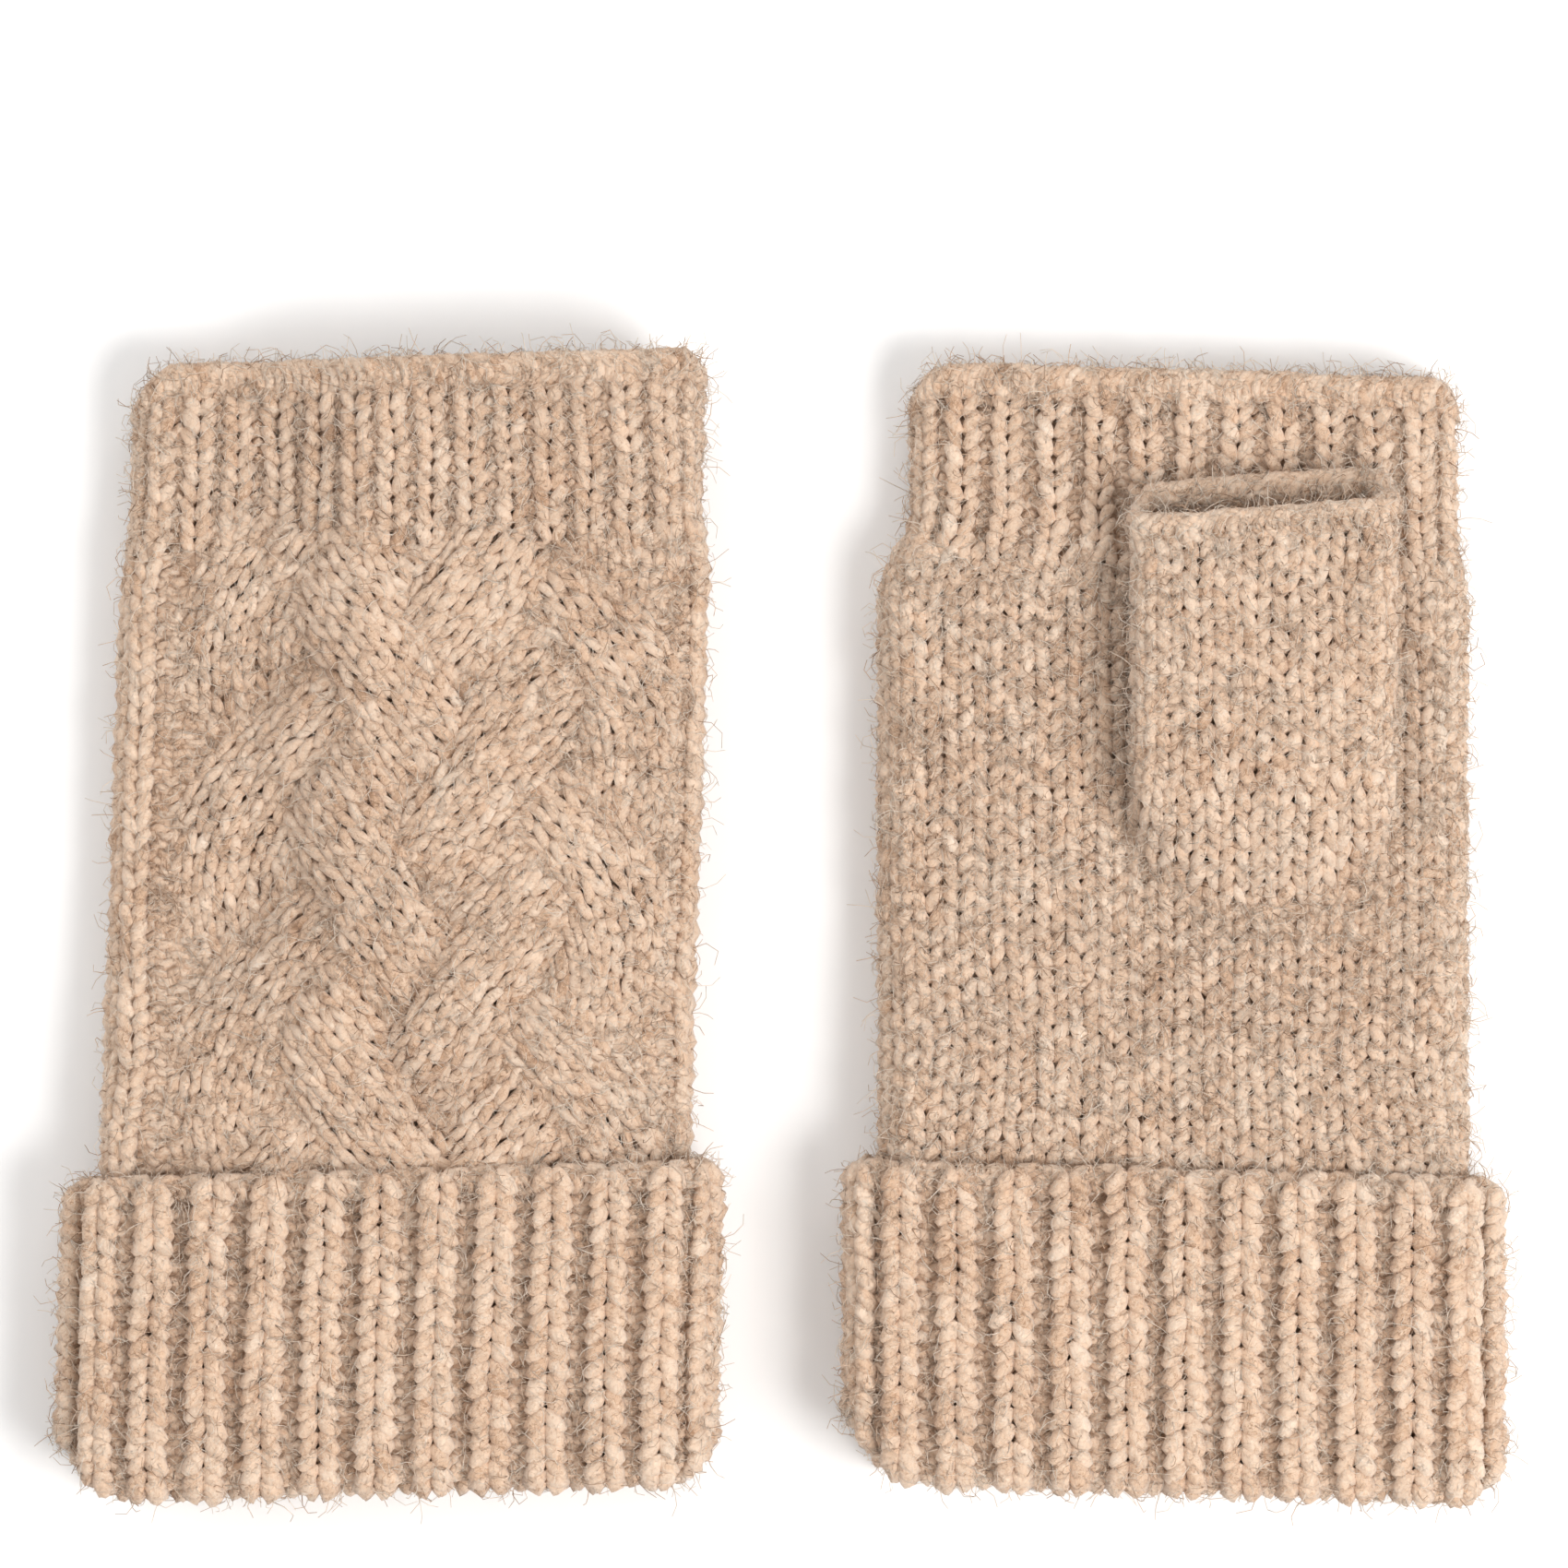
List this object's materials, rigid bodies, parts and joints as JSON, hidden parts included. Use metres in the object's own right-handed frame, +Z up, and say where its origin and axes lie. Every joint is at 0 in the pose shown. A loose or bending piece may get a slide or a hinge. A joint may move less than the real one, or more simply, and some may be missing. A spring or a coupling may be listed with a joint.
{
  "type": "fingerless gloves",
  "caption": "Pair of chunky knitted fingerless gloves with a plaited cable on the back, ribbed finger bands, open thumb stalls and turned-up ribbed cuffs.",
  "frame": {"origin": "centre of the pair's footprint, on the surface it lies on", "axes": "+Z up from the surface, +Y from the cuffs towards the fingers, +X from the left-hand glove to the right-hand glove"},
  "size_m": [0.2374, 0.1887, 0.0244],
  "materials": {
    "cable_knit": "brushed melange wool blend, plaited cable",
    "stockinette": "brushed melange wool blend, plain knit",
    "rib_knit": "brushed melange wool blend, one by one rib",
    "cuff_knit": "brushed melange wool blend, thick one by one rib",
    "edge_chain": "brushed melange wool blend, chained edge"
  },
  "bodies": {
    "right_glove": {"right_back_panel": "cable_knit", "right_palm_panel": "stockinette", "right_finger_rib": "rib_knit", "right_finger_bind_off": "edge_chain", "right_thumb_join": "edge_chain", "right_wrist_rib": "rib_knit"},
    "right_thumb": {"right_thumb_stall": "stockinette", "right_thumb_bind_off": "edge_chain"},
    "right_cuff": {"right_cuff_turn_up": "cuff_knit", "right_cuff_fold": "cuff_knit", "right_cuff_cast_on_edge": "edge_chain"},
    "left_glove": {"left_back_panel": "cable_knit", "left_palm_panel": "stockinette", "left_finger_rib": "rib_knit", "left_finger_bind_off": "edge_chain", "left_thumb_join": "edge_chain", "left_wrist_rib": "rib_knit"},
    "left_thumb": {"left_thumb_stall": "stockinette", "left_thumb_bind_off": "edge_chain"},
    "left_cuff": {"left_cuff_turn_up": "cuff_knit", "left_cuff_fold": "cuff_knit", "left_cuff_cast_on_edge": "edge_chain"}
  },
  "joints": [
    {"name": "right_thumb_lift", "type": "hinge", "parent": "right_glove", "child": "right_thumb", "pos_m": [0.0785, 0.021, 0.0138], "axis": [1, 0, 0], "range_deg": [0, 90]},
    {"name": "right_cuff_turn_down", "type": "slide", "parent": "right_glove", "child": "right_cuff", "axis": [0, -1, 0], "range_m": [0, 0.05]},
    {"name": "left_glove_pick_up", "type": "slide", "parent": "right_glove", "child": "left_glove", "axis": [0, 0, 1], "range_m": [0, 0.12]},
    {"name": "left_thumb_lift", "type": "hinge", "parent": "left_glove", "child": "left_thumb", "pos_m": [-0.0465, 0.021, 0.0106], "axis": [-1, 0, 0], "range_deg": [0, 90]},
    {"name": "left_cuff_turn_down", "type": "slide", "parent": "left_glove", "child": "left_cuff", "axis": [-0.034, -0.9994, 0], "range_m": [0, 0.05]}
  ]
}
